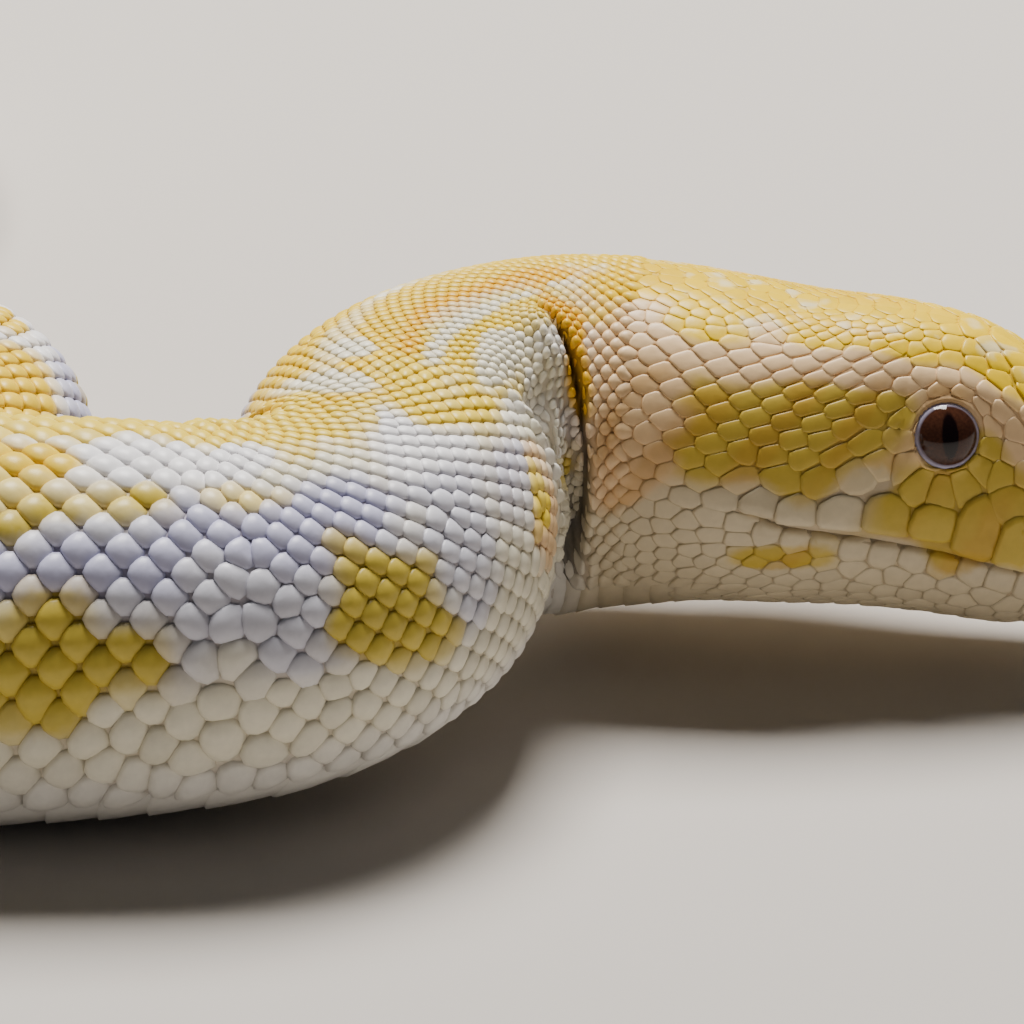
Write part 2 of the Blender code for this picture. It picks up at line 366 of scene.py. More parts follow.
def face_relief(s, angle):
    """Lips, brow, nostrils and the shallow pits in the front of the upper lips."""
    lips = above_mouth(s, angle)
    level = np.degrees(abs(wrapped(angle)))
    height = 0.00035 * hill(lips, 0.0015, 0.0011) - 0.001 * hill(lips, 0, 0.00028)
    height = (height - 0.0003 * hill(lips, -0.001, 0.0008)) * in_mouth(s)
    height -= 0.00045 * hill(lips, 0.005, 0.0005) * falling(s, 0.02, 0.026)
    height += 0.0007 * hill(level, 46, 9) * hill(s, 0.0255, 0.0075)
    height -= 0.00035 * hill(s, 0.0335, 0.00045) * hill(level, 66, 22)
    height -= 0.0013 * nostril_share(s, angle)
    for pit in (0.003, 0.0064, 0.01):
        height -= 0.0006 * hill(s, pit, 0.0007) * hill(lips, 0.0022, 0.0007)
    return height


def coat_depth(s):
    """How far the skin lies inside the solids, to leave room for the scales."""
    return np.interp(s, (0, 0.06, 0.17, 1.3, 1.7, 1.96), (0.3, 0.4, 0.9, 0.95, 0.55, 0.15)) / 1000


def fold_relief(s, stretch):
    """On the inside of a tight bend the skin tucks in, and it swells on both sides of the tuck."""
    folds = 0.035 * hill(stretch, 0.56, 0.14) - 0.13 * falling(stretch, 0.24, 0.4)
    return folds * read(FORM, s)[0] * rising(s, 0.062, 0.072)


def from_crease(s, angle, stretch):
    """Millimetres of skin from the deep crease on the right of the neck: over 0 behind it."""
    line = np.interp(np.degrees(wrapped(angle)), *CREASE)
    return (s * 1000 - line) * np.maximum(stretch, 0.2)


def crease_relief(s, angle, stretch):
    """A sharp valley where the neck turns back on itself, with the skin crowded up behind it."""
    hand = np.degrees(wrapped(angle))
    off = from_crease(s, angle, stretch)
    relief = 0.0021 * hill(off, 2.3, 2.0) * falling(hand, 72, 98)
    relief += 0.0007 * hill(off, -1.5, 1.3) * falling(hand, 80, 110)
    relief -= 0.0026 * hill(off, 0, 0.34) * falling(hand, 108, 126)
    return relief * rising(hand, 17, 34)


def surface(s, angle, above=0.0):
    """World position at a height above the skin."""
    ahead, turn = slopes(s, angle)
    points = solid_point(s, angle)
    stretch = measure(ahead)
    height = above - coat_depth(s) + fold_relief(s, stretch) + crease_relief(s, angle, stretch)
    on_head = falling(s, 0.075, 0.085)
    if np.any(on_head):
        height = height + (face_relief(s, angle) + eye_relief(points)) * on_head
    points = points + unit(np.cross(ahead, turn)) * height[..., None]
    points[..., 2] = np.maximum(points[..., 2], 0.00002)
    return points


# The live colours.


def mottle(s, angle, size, seed):
    """Smooth noise between about -1 and 1, with features of this size on the straightened body."""
    radius = read(FORM, s)[0]
    places = np.stack([s, radius * np.cos(angle), radius * np.sin(angle)], -1) / size
    random = np.random.default_rng(seed)
    total = 0
    for _ in range(6):
        direction = random.normal(size=3)
        direction *= (1 + 0.8 * random.random()) * 2.2 / measure(direction)
        total = total + np.sin(places @ direction + random.random() * 2 * pi)
    return total / 2.4


def mixed(base, code, share):
    share = np.clip(share, 0, 1)[..., None]
    return base * (1 - share) + linear(code) * share


def rounded(across, up, power):
    """Distance from the middle of a shape between an oval and a box: 1 on its edge."""
    return (abs(across) ** power + abs(up) ** power) ** (1 / power)


def inside(distance, softness):
    return falling(distance, 1 - softness, 1 + softness)


def marked(colour, marks, s, level, ragged):
    """The marks laid over the colour, with ragged edges. A slant leans one along the body."""
    for code, at, length, middle, height, slant in marks:
        shift = s * 1000 - at - slant * (level - middle)
        distance = rounded(shift / length, (level - middle) / height, 2.4)
        colour = mixed(colour, code, inside(distance + 0.24 * ragged, 0.16))
    return colour


def trunk_markings(colour, s, level, side):
    """Gold saddles down the back and mustard blotches on the flanks, edged white and lavender."""
    spacing = 0.052
    wander = mottle(s, side, 0.022, 4)
    fine = mottle(s, side, 0.0065, 5)
    turn = s / spacing + 0.13 * wander
    number = np.floor(turn)
    reach = 52 + 12 * np.sin(number * 2.4)
    length = 0.8 + 0.14 * np.sin(number * 1.7 + 1)
    saddle = rounded((turn - number - 0.5) * 2 / length, level / reach, 3)
    saddle = saddle + 0.07 * fine + 0.12 * mottle(s, side, 0.011, 8)
    colour = mixed(colour, WHITE, inside(saddle / 1.32, 0.08))
    colour = mixed(colour, GOLD, inside(saddle, 0.06))
    colour = mixed(colour, YELLOW, inside(saddle / 0.5 + 0.3 * wander, 0.25) * 0.75)
    beside = (turn + 0.12 * fine - np.floor(turn + 0.5)) * 2
    flank = rounded(beside / 0.52, (level - 88) / 25, 2.2) + 0.14 * fine
    colour = mixed(colour, LAVENDER, inside(flank / 1.55, 0.12) * falling(level, 80, 100))
    return mixed(colour, MUSTARD, inside(flank, 0.08))


def markings(s, angle):
    """Colour of the live skin at a place on the body."""
    side = wrapped(angle)
    hand = np.degrees(side)
    level = abs(hand)
    ragged = mottle(s, side, 0.0045, 1)
    cloud = mottle(s, side, 0.011, 2)
    streaks = mottle(s * 0.45, side, 0.0042, 6)
    colour = mixed(linear(CREAM), YELLOW, falling(level, 20, 48) * 0.8)
    colour = mixed(colour, LAVENDER, rising(cloud, 0.5, 1.1) * hill(level, 52, 22) * 0.7)
    colour = mixed(colour, WHITE, rising(streaks, 0.35, 0.9) * falling(s, 0.105, 0.118) * 0.8)
    colour = mixed(colour, IVORY, rising(level, 104, 122))
    fore = marked(colour, FORE_MARKS, s, hand, ragged)
    worn = rising(streaks, 0.2, 1.0) * falling(s, 0.105, 0.12) * rising(s, 0.078, 0.084)
    fore = mixed(fore, CREAM, worn * 0.5)
    trunk = trunk_markings(colour, s, level, side)
    behind = np.maximum(rising(s, 0.172, 0.182), falling(hand, -62, -50))[..., None]
    colour = fore * (1 - behind) + trunk * behind
    # The lower half of the head takes JAW, whose darkness is partly painted shade.
    head = mixed(linear(PINK), JAW, rising(level, 74, 88))
    head = marked(head, HEAD_MARKS, s, level, ragged)
    on_top = falling(level, 18, 30)
    # Painted highlights: pale flecks on top of the head stand for glints of the light from above.
    painted_glints = rising(mottle(s, side, 0.0012, 3) + 0.5 * cloud, 0.75, 1.2)
    head = mixed(head, CREAM, painted_glints * on_top * 0.6)
    head = mixed(head, AMBER, rising(mottle(s, side, 0.005, 9), 0.0, 0.9) * on_top * 0.25)
    yellow = rising(head[..., 0] - head[..., 2], 0.3, 0.5) * rising(level, 42, 50)
    head = mixed(head, OCHRE, rising(mottle(s, side, 0.0036, 10), -0.1, 0.9) * yellow * 0.42)
    ahead = falling(s, 0.068, 0.08)[..., None]
    return head * ahead + colour * (1 - ahead)


# Making meshes.


def placed(name, data):
    made = bpy.data.objects.new(name, data)
    bpy.context.scene.collection.objects.link(made)
    return made


def plain_mesh(name, points, faces, colours, patches=None, layer="OFBake"):
    """A mesh object from arrays, with a colour and a place in the UV layer for each point."""
    mesh = bpy.data.meshes.new(name)
    mesh.vertices.add(len(points))
    mesh.vertices.foreach_set("co", points.astype(np.float32).ravel())
    sizes = join([np.full(len(group), group.shape[1]) for group in faces])
    corners = join([group.ravel() for group in faces])
    mesh.loops.add(len(corners))
    mesh.loops.foreach_set("vertex_index", corners.astype(np.int32))
    mesh.polygons.add(len(sizes))
    mesh.polygons.foreach_set("loop_start", summed(sizes).astype(np.int32))
    tint = mesh.color_attributes.new("Tint", "FLOAT_COLOR", "POINT")
    rgba = np.ones((len(points), 4), np.float32)
    rgba[:, :3] = colours
    tint.data.foreach_set("color", rgba.ravel())
    if patches is not None:
        made = mesh.uv_layers.new(name=layer)
        made.uv.foreach_set("vector", patches[corners].astype(np.float32).ravel())
    mesh.update(calc_edges=True)
    mesh.validate()
    mesh.shade_smooth()
    return placed(name, mesh)


def band(first, second):
    """Quads between two rings with as many points."""
    return np.stack([first, np.roll(first, -1), np.roll(second, -1), second], 1)


def halving_band(first, second):
    """Triangles between a ring and one with half as many points."""
    even, odd, after = first[0::2], first[1::2], np.roll(first[0::2], -1)
    following = np.roll(second, -1)
    corners = [(second, odd, even), (following, after, odd), (second, following, odd)]
    return join([np.stack(corner, 1) for corner in corners])


def fan(ring, point):
    """Triangles between a ring and one point."""
    return np.stack([ring, np.roll(ring, -1), np.full(len(ring), point)], 1)


def caps(rings, last):
    """The fans that close a row of rings, to point 0 and to the last point."""
    return [fan(rings[0], 0), fan(rings[-1], last)[:, [1, 0, 2]]]


def repeated(groups, count, size):
    """One scale's faces, of so many points, for each scale of a piece."""
    base = np.arange(count)[:, None, None] * size
    return [(group[None] + base).reshape(-1, group.shape[1]) for group in groups]


def skin_stations():
    """Distances of the skin's rings, and the number of points in each."""
    head = 0.0002 + np.cumsum([0, *np.linspace(0.00015, 0.00055, 150)])
    neck = np.arange(head[-1] + 0.0008, 0.2, 0.0012)
    trunk = np.append(np.arange(neck[-1] + 0.003, LENGTH - 0.002, 0.0035), LENGTH - 0.001)
    parts = head, head[-1:] + 0.0004, neck, trunk
    return join(parts), np.repeat((400, 200, 100, 50), list(map(len, parts)))


def make_skin():
    """One closed skin from the snout to the tip of the tail."""
    distances, sides = skin_stations()
    s = join([[0], np.repeat(distances, sides), [LENGTH]])
    angle = join([[0], *map(ring_turns, sides), [0]])
    rings = [np.arange(end - count, end) for end, count in zip(np.cumsum(sides) + 1, sides)]
    points = surface(s, angle)
    points[0] = surface(0.0001, pi / 2)
    points[-1] = points[rings[-1]].mean(0)
    quads, triangles = [], []
    for first, second in zip(rings, rings[1:]):
        if len(first) == len(second):
            quads.append(band(second, first))
        else:
            triangles.append(halving_band(first, second))
    faces = [join(quads), join(triangles + caps(rings, len(s) - 1))]
    colours = mixed(markings(s, angle), BETWEEN, 0.18) * 0.84
    # Painted shade: the skin is darkened in the deep crease of the neck, along the line of the closed
    # lips and in the nostrils.
    crease = hill(from_crease(s, angle, squeezed(s, angle)), 0, 0.8) * (s > 0.06)
    mouth = 0.7 * hill(above_mouth(s, angle), 0, 0.0004) * in_mouth(s)
    painted_shade = crease * rising(np.sin(angle), 0.3, 0.5), mouth, nostril_share(s, angle)
    return plain_mesh("skin", points, faces, colours * (1 - 0.75 * np.max(painted_shade, 0))[:, None])


# Where the scales stand.


def arc_length(s):
    """Angles from the back to the middle of the belly, and the lengths of skin to each."""
    angles = np.linspace(0, pi, 121)
    steps = measure(np.diff(solid_point(np.full(121, s), angles), axis=0))
    return angles, join([[0], np.cumsum(steps)])


ALL_PASSED = np.log(1 + GROWTH / NARROWER_ON_BACK) / GROWTH  # scales, for each width of one on a flank


def unwarped(passed):
    """The share of the way from the back to the belly plates at which so many scales are passed."""
    return NARROWER_ON_BACK * (np.exp(GROWTH * passed) - 1) / GROWTH


def apart(point, ways, out, length, width, other, facing, reach=ONE_LOOP):
    """Distances to other scales, in scales, along and round the body and in all. Those that face
    another way or lie out of reach count as far."""
    offset = other - point[:, None]
    sizes = np.stack([length, width])[..., None]
    along, around = (offset * ways[:, :, None]).sum(-1) / sizes
    away = ((facing * out[:, None]).sum(-1) < ALIKE) | (measure(offset) > reach)
    return along, around, np.hypot(along, around) + 9 * away


def body_places(random):
    """Columns of scales from the neck to the tail, each set into the gaps of the one before. A scale
    is added where the body widens, and two become one where it narrows."""
    found, recent = [], []
    s = HEAD_END
    inner = None
    set_in = False
    sides = np.array([-pi, pi]) / 2
    while s < LENGTH - 0.004:
        width, pitch = (np.interp(s, SCALE_SIZE[0], row) / 1000 for row in SCALE_SIZE[1:])
        outer = squeezed(np.full(2, s), sides).max()
        advance = pitch / (1 + 0.75 * (outer - 1))
        angles, lengths = arc_length(s)
        reach = np.interp(BELLY_EDGE, angles, lengths)
        half = reach / width * ALL_PASSED
        wanted = 2 * half - set_in
        if inner is None:
            count = round(2 * half)
            inner = np.linspace(-1, 1, count + 1)[:-1] + 1 / count
        else:
            ends = [] if set_in else [1]
            inner = join([-np.array(ends), inner, ends])
            inner = (inner[1:] + inner[:-1]) / 2
        gaps = np.diff(inner)
        if len(inner) < wanted - 0.8:
            widest = np.argmax(gaps * (1 + 0.1 * random.random(len(gaps))))
            inner = np.insert(inner, widest + 1, inner[widest : widest + 2].mean())
        elif len(inner) > wanted + 0.8:
            closest = np.argmin(gaps * (1 + 0.1 * random.random(len(gaps))))
            inner[closest] = inner[closest : closest + 2].mean()
            inner = np.delete(inner, closest + 1)
        ends = join([[-2 - inner[0]], inner, [2 - inner[-1]]])
        inner = 0.6 * inner + 0.2 * (ends[2:] + ends[:-2])
        share = np.sign(inner) * unwarped(abs(inner) * ALL_PASSED)
        side = np.sign(share) * np.interp(abs(share) * reach, lengths, angles)
        local = width * (NARROWER_ON_BACK + GROWTH * abs(share))
        column = s + random.normal(0, 0.03, len(inner)) * advance
        point, ways, out, stretch, _ = footing(column, side, surface)
        length = np.clip(advance * stretch, 0.85 * local, 1.5 * local)
        kept = (abs(from_crease(column, side, stretch)) > 0.45) | (side < 0.4) | (side > 2.1)
        kept &= stretch > 0.14
        if recent:
            earlier = [join(rows)[None] for rows in zip(*recent)]
            kept &= apart(point, ways, out, length, local, *earlier, np.inf)[2].min(1) > 0.46
        found.append(np.stack([column, side, local, length], 1)[kept])
        recent = (recent + [(point[kept], out[kept])])[-12:]
        s += advance / 2
        set_in = not set_in
    return join(found)


def nearest(points, others, count):
    """Numbers of the others that are nearest to each point."""
    tree = kdtree.KDTree(len(others))
    for i, place in enumerate(others):
        tree.insert(place, i)
    tree.balance()
    return np.array([[index for _, index, _ in tree.find_n(place, count)] for place in points])


def filled(places):
    """The same scales with more set on skin that the columns leave bare."""
    s, angle = np.meshgrid(
        join([np.arange(HEAD_END, 0.3, 0.0011), np.arange(0.3, LENGTH - 0.01, 0.003)]),
        np.arange(0.05 - BELLY_EDGE, BELLY_EDGE - 0.05, 0.045),
    )
    s, angle = s.ravel(), angle.ravel()
    point, ways, out, stretch, _ = footing(s, angle, surface)
    other, _, facing, _, _ = footing(*places[:, :2].T, surface)
    near = nearest(point, other, 6)
    width, length = places[near[:, 0], 2:].T
    far = apart(point, ways, out, length, width, other[near], facing[near])[2].min(1)
    clear = (abs(from_crease(s, angle, stretch)) > 0.9) & (stretch >= 0.35)
    kept = []
    for i in np.argsort(-far):
        if far[i] < 0.62:
            break
        if clear[i]:
            one = [i]
            here = point[one], ways[:, one], out[one], length[one], width[one]
            if not kept or apart(*here, point[kept][None], out[kept][None])[2].min() >= 0.66:
                kept.append(i)
    return join([places, np.stack([s, angle, width, length], 1)[kept]])


def relaxed(places, rounds):
    """The same scales after neighbours that stand too close have moved apart."""
    places = places.copy()
    s, angle, width, length = places.T
    for _ in range(rounds):
        point, ways, out, stretch, around = footing(s, angle, surface)
        near = nearest(point, point, 9)[:, 1:]
        along, across, far = apart(point, ways, out, length, width, point[near], out[near])
        push = np.clip(0.72 - far, 0, 1) / np.maximum(far, 0.1) * 0.35
        free = (stretch > 0.45) & (abs(from_crease(s, angle, stretch)) > 1.4)
        free = free * falling(abs(angle), BELLY_EDGE - 0.1, BELLY_EDGE)
        s -= (push * along).sum(1) * length / stretch * free
        angle -= (push * across).sum(1) * width / around * free
        s[:] = np.maximum(s, HEAD_END)
    return places


def at_height(s, height, trial):
    """The trial angles at which the head stands this high above the line of the closed lips."""
    off = above_mouth(s[:, None], trial) - np.reshape(height, (-1, 1))
    return trial[np.argmin(abs(off), 1)]


def lip_places(stations, above):
    """A row of plates along one side of the mouth, at these heights above or below its line."""
    spacing = np.diff(stations)
    angles = at_height(stations, above, np.linspace(0.2, pi - 0.02, 400))
    return np.stack([stations, angles, abs(above) * 2, np.append(spacing, spacing[-1])], 1)


def eye_ring_places():
    """Small plates round the right eye, one step over the skin from its middle."""
    *_, stretch, around = footing(EYE, EYE_ANGLE)
    way = ring_turns(EYE_PLATES) + 0.2
    s = EYE + EYE_RING * np.cos(way) / stretch
    angle = EYE_ANGLE + EYE_RING * np.sin(way) / around
    return np.column_stack([s, angle, np.full((EYE_PLATES, 2), 0.0026)])


def temple_places(random):
    """Rows of long plates behind the eye, each row set into the gaps of the one above."""
    rows = []
    for k, j in np.ndindex(10, 10):
        s = 0.0362 + 0.0037 * (j + 0.5 * (k % 2)) + 0.0004 * k
        if s > HEAD_END - 0.001:
            continue
        angles, lengths = arc_length(s)
        top = np.interp(radians(29), angles, lengths)
        place = top + 0.002 * (k + 0.5) + random.normal(0, 0.0001)
        angle = np.interp(place, lengths, angles)
        if above_mouth(s, angle) > 0.0062 or (s > 0.052 and angle < 2.0):
            rows.append((s, angle, 0.0027, 0.0037))
    return rows


def head_size(s, level):
    """Width round the head and length along it of the plates that find their own place."""
    crown = np.interp(s, (0, 0.012, 0.024, 0.034, 0.05, 0.067), (2.6, 4.0, 3.0, 1.9, 1.8, 2.0))
    temple = np.interp(s, (0, 0.02, 0.035, 0.052, 0.06, 0.067), (2.4, 2.7, 2.8, 2.7, 2.4, 2.1))
    chin = np.interp(s, (0, 0.02, 0.067), (2.4, 3.2, 2.7))
    width = crown + (temple - crown) * np.interp(level, (24, 36), (0, 1))
    width += (chin - temple) * np.interp(level, (105, 125), (0, 1))
    stretch = np.interp(s, (0.03, 0.038, 0.056, 0.064), (1.15, 1.55, 1.5, 1.2))
    stretch = stretch if 30 < level < 105 else 1.15
    return width / 1000, width * stretch / 1000


def head_places(random):
    """Plates of the head: fixed ones on the lips and round the eye, and the rest pushed apart until
    each has the room that its size needs. The left half mirrors the right."""
    upper = lip_places(*np.array(UPPER_LIP) / 1000)
    lower = np.arange(0.0032, 0.05, 0.0037)
    lower = lip_places(lower, np.full(len(lower), -0.0019))
    fixed = join([upper, lower, eye_ring_places()])
    places = join([fixed, temple_places(random)])
    count = len(fixed)
    free = []
    for s in np.arange(0.0016, HEAD_END - 0.0008, 0.001):
        angles, lengths = arc_length(s)
        free += [(s, np.interp(y, lengths, angles)) for y in np.arange(0.0006, lengths[-1], 0.001)]
    free = np.array(free)
    random.shuffle(free)
    for s, angle in free:
        size = head_size(s, degrees(angle))
        local = read(FORM, s)[0] * 1.15
        room = np.maximum(places[:, 2:], size)
        room[:count] = (room[:count] + size) / 2
        offset = places[:, :2] - (s, angle)
        far = np.hypot(offset[:, 0] / room[:, 1], offset[:, 1] * local / room[:, 0])
        if far.min() > 0.76 and angle * local > size[0] * 0.42:
            places = join([places, [(s, angle, *size)]])
    loose = np.arange(len(places)) >= count
    s, angle, width, length = places.T
    for _ in range(ROUNDS):
        local = read(FORM, s)[0] * 1.15
        across = (angle[:, None] - angle) * local[:, None]
        ahead, turn = pushed(s[:, None] - s, across, width, length)
        s[:] = np.clip(s + ahead * loose, 0.0012, HEAD_END - 0.001)
        lowest = width * 0.45 / (read(FORM, s)[0] * 1.1) * loose
        angle[:] = np.clip(angle + turn / local * loose, lowest, pi - 0.05)
    kept = (s < THROAT) | (angle < BELLY_EDGE)
    places = snout_places(places[kept], loose[kept], random)
    return join([places, places * (1, -1, 1, 1), [ROSTRAL]])


def pushed(da, db, width, length):
    """Small moves away from neighbours that stand this far off along the head and round it."""
    pairs = [size[:, None] + np.tile(size, da.shape[1] // len(size)) for size in (length, width)]
    da, db = da / (pairs[0] / 2), db / (pairs[1] / 2)
    far = np.hypot(da, db) + 9 * np.eye(*da.shape)
    push = np.clip(1.05 - far, 0, 1) / np.maximum(far, 0.05)
    return (push * da).sum(1) * length * 0.1, (push * db).sum(1) * width * 0.1


def snout_places(places, loose, random):
    """The plates of the blunt snout set out afresh by distances over the skin."""
    kept = ~loose | (places[:, 0] > SNOUT_END)
    places = join([places[kept], [ROSTRAL]])
    fixed = len(places)
    stations = join([[0.0003, 0.0007, 0.0011], np.arange(0.0016, SNOUT_END + 0.0004, 0.0006)])
    free = []
    for s in stations:
        for angle in np.arange(0.05, pi, 0.05):
            width = head_size(s, degrees(angle))[0] * 1.1
            free.append((s, angle, width, width))
    free = np.array(free)
    random.shuffle(free)
    trial, ways, *_ = footing(*free[:, :2].T)
    aside = abs(section(*free[:, :2].T)[0])
    for i, row in enumerate(free):
        offset = solid_point(*places[:, :2].T) - trial[i]
        room = (places[:, 2:] + row[2:]) / 2
        far = np.hypot(offset @ ways[0, i] / room[:, 1], offset @ ways[1, i] / room[:, 0])
        far += 9 * (measure(offset) > 0.015)
        if far.min() > 0.74 and aside[i] > row[2] * 0.42:
            places = join([places, row[None]])
    loose = np.arange(len(places)) >= fixed
    s, angle, width, length = places.T
    for _ in range(ROUNDS):
        point, ways, _, stretch, around = footing(s, angle)
        offset = point[:, None] - join([point, solid_point(s, -angle)])
        ahead, turn = pushed(*(offset * ways[:, :, None]).sum(-1), width, length)
        ahead = np.clip(ahead / stretch, -0.0005, 0.0005) * loose
        turn = np.clip(turn / around, -0.2, 0.2)
        s[:] = np.clip(s + ahead, 0.0003, HEAD_END)
        angle[loose] = np.clip(angle + turn, 0.02, pi - 0.02)[loose]
    return np.delete(places, fixed - 1, 0)


# The scales' own shapes.


def mouth_line():
    """Points along the closed lips, from one corner of the mouth round the snout to the other."""
    s = np.linspace(0.0019, MOUTH_END, 400)
    angle = at_height(s, 0, np.linspace(0.8, pi, 900))
    return join([solid_point(s, angle), solid_point(s, -angle)])


def toward(offset, ways):
    """The way to a place in the two directions of the skin, and how far it is over the skin."""
    flat = (offset * ways).sum(-1)
    far = np.maximum(np.hypot(*flat), 1e-6)
    return flat / far, far


def walls(s, angle, point, ways, stretch):
    """Borders that no scale crosses: the mouth's line, the neck's crease, the nostrils and the eyes'
    rims. Each is given as twice the way to it over the skin, or a metre if it is out of reach."""
    line = mouth_line()
    on_face = np.flatnonzero(s < MOUTH_END)
    offset = np.zeros(point.shape)
    gap = line - point[on_face, None]
    offset[on_face] = gap[np.arange(len(on_face)), np.argmin(measure(gap), 1)]
    far = measure(offset)
    near = (far > 0) & (far < 0.008)
    way = np.where(near, toward(offset, ways)[0], [[1], [0]])
    found = [way * np.where(near, np.maximum(far - 0.00019, 0.0002), 1.0)]
    off = from_crease(s, angle, stretch)
    beside = (abs(off) < 5) & (angle > radians(24)) & (angle < radians(120))
    room = np.where(beside, np.maximum(abs(off) - 0.12, 0.2) / 1000, 1.0)
    found.append(np.stack([-np.sign(off) * room, np.zeros(len(s))]))
    for hand in (-1, 1):
        nostril = solid_point(NOSTRIL[0], hand * NOSTRIL[1])
        for middle, edge in ((eye_place(hand)[0], EYE_EDGE), (nostril, NOSTRIL_EDGE)):
            way, far = toward(middle - point, ways)
            near = measure(middle - point) < edge + 0.0076
            found.append(way * np.where(near, np.maximum(far - edge, 0.0003), 1.0))
    return 2 * np.stack(found, -1)


def outlines(places, ghosts, segments, roundness, most=0.75):
    """How far each scale reaches in every direction, along the body and round it. A soft minimum
    over its borders with its neighbours rounds the corners."""
    every = join([places, ghosts])
    count = len(places)
    at, turned = every[:, :2].T
    body = at > HEAD_END
    both = zip(footing(at, turned, surface), footing(at, turned))
    ground = [np.where(body[:, None] if pair[0].ndim > 1 else body, *pair) for pair in both]
    point, ways, out, stretch, around = ground
    lip = np.sign(above_mouth(at, turned)) * (at < MOUTH_END)
    neighbours = np.full((count, NEIGHBOURS), count)
    for i, found in enumerate(nearest(point[:count], point, 28)):
        alike = (abs(at[found] - at[i]) < ONE_LOOP) & (out[found] @ out[i] > 0.2)
        found = found[(found != i) & alike & (lip[found] * lip[i] >= 0)][:NEIGHBOURS]
        neighbours[i, : len(found)] = found
    s, angle, width, length = places.T
    point, ways, stretch, around = point[:count], ways[:, :count], stretch[:count], around[:count]
    offset = ground[0][neighbours] - point[:, None]
    steps = (offset * ways[:, :, None]).sum(-1)
    da, db = join([steps, walls(s, angle, point, ways, stretch)], -1)
    squeeze = (width / length)[:, None]
    da = da * squeeze
    half = np.maximum(np.hypot(da, db) / 2, 1e-5)
    theta = ring_turns(segments)
    facing = np.maximum(np.cos(theta[:, None] - np.arctan2(db, da)[:, None]), 0) / half[:, None]
    limit = (1 / (most * width)) ** roundness
    reach = ((facing**roundness).sum(-1) + limit[:, None]) ** (-1 / roundness)
    along = reach * np.cos(theta) / squeeze / np.maximum(stretch[:, None], 0.3)
    return along, reach * np.sin(theta) / around[:, None]


def set_on_skin(tree, places, along, around, up):
    """Points of plates on the blunt snout, each brought onto the nearest skin."""
    point, ways, _, stretch, turn = footing(*places[:, :2].T)
    flat = point[:, None] + (along * stretch[:, None])[..., None] * ways[0][:, None]
    flat += (around * turn[:, None])[..., None] * ways[1][:, None]
    made = np.zeros(flat.shape)
    for index in np.ndindex(flat.shape[:2]):
        place, out, _, _ = tree.find_nearest(Vector(flat[index]))
        made[index] = place + out * up[index]
    return made


def make_scales(name, places, shape, span, dome, tilt, bulk, own, power, tree=None):
    """One piece of joined scales. Each is a low dome whose rear edge stands over the next one. Its
    colour is partly its own, and the rest follows the markings across it."""
    s, angle, width, length = places.T
    along, around = shape
    count, segments = along.shape
    size = len(RINGS) * segments + 1
    tone = 1 + np.random.default_rng(count).normal(0, 0.035, count)[:, None, None]
    front = np.hypot(along, around * read(FORM, s)[0][:, None]).mean(1)
    scale = np.minimum(np.minimum(width, length), 2.3 * front)[:, None, None]
    off = abs(from_crease(s, angle, squeezed(s, angle)))
    beside = rising(np.sin(angle), 0.2, 0.45) * falling(off, 2, 5) * (s > 0.06)
    bulk = (bulk - (bulk - 1) * beside)[:, None, None]
    theta = ring_turns(segments)
    share, patch, shade = np.array(RINGS).T[:, :, None]
    swell = 1 - share ** (power + 0.3 * power * (1 + np.cos(theta)))
    up = scale * (dome * swell + tilt * (1 + share * np.cos(theta)))
    up[:, 0] = -0.07 * scale[:, 0]
    moves = along[:, None] * share * bulk, around[:, None] * share * bulk
    at, turned = s[:, None, None] + moves[0], angle[:, None, None] + moves[1]
    plain = markings(s, angle)[:, None]
    local = own * plain[:, None] + (1 - own) * markings(at, turned)
    # Painted shade: the outer rings are darker, so each scale's rim looks shaded where it meets the
    # skin and its neighbours.
    tint = local * tone[..., None] * shade[..., None]
    u = 0.01 + 0.98 * (s - span[0]) / (span[1] - span[0])
    centre = np.stack([u, 0.5 + 0.49 * wrapped(angle) / pi], -1)[:, None]
    corner = np.stack([np.cos(theta), np.sin(theta)], -1) * 0.0015 * patch[..., None]

    def whole(ringed, middle):
        """The values of all the rings of each scale, and that of its middle."""
        ringed = ringed.reshape(count, size - 1, -1)
        return join([ringed, middle.reshape(count, 1, -1)], 1)

    at, turned = whole(at, s)[..., 0], whole(turned, angle)[..., 0]
    up = whole(up, scale * (dome + tilt))[..., 0]
    points = surface(at, turned, up)
    if tree:
        snout = s < SNOUT_FACE
        shifts = at[snout] - s[snout, None], turned[snout] - angle[snout, None]
        points[snout] = set_on_skin(tree, places[snout], *shifts, up[snout])
    ring = np.arange(segments)
    loops = [ring + k * segments for k in range(len(RINGS))]
    bands = [band(first, second) for first, second in zip(loops, loops[1:])]
    groups = join(bands), fan(loops[-1], size - 1)
    tint = whole(tint, plain * tone).reshape(-1, 3)
    uv = whole(centre[:, None] + corner, centre).reshape(-1, 2)
    return plain_mesh(name, points.reshape(-1, 3), repeated(groups, count, size), tint, uv)


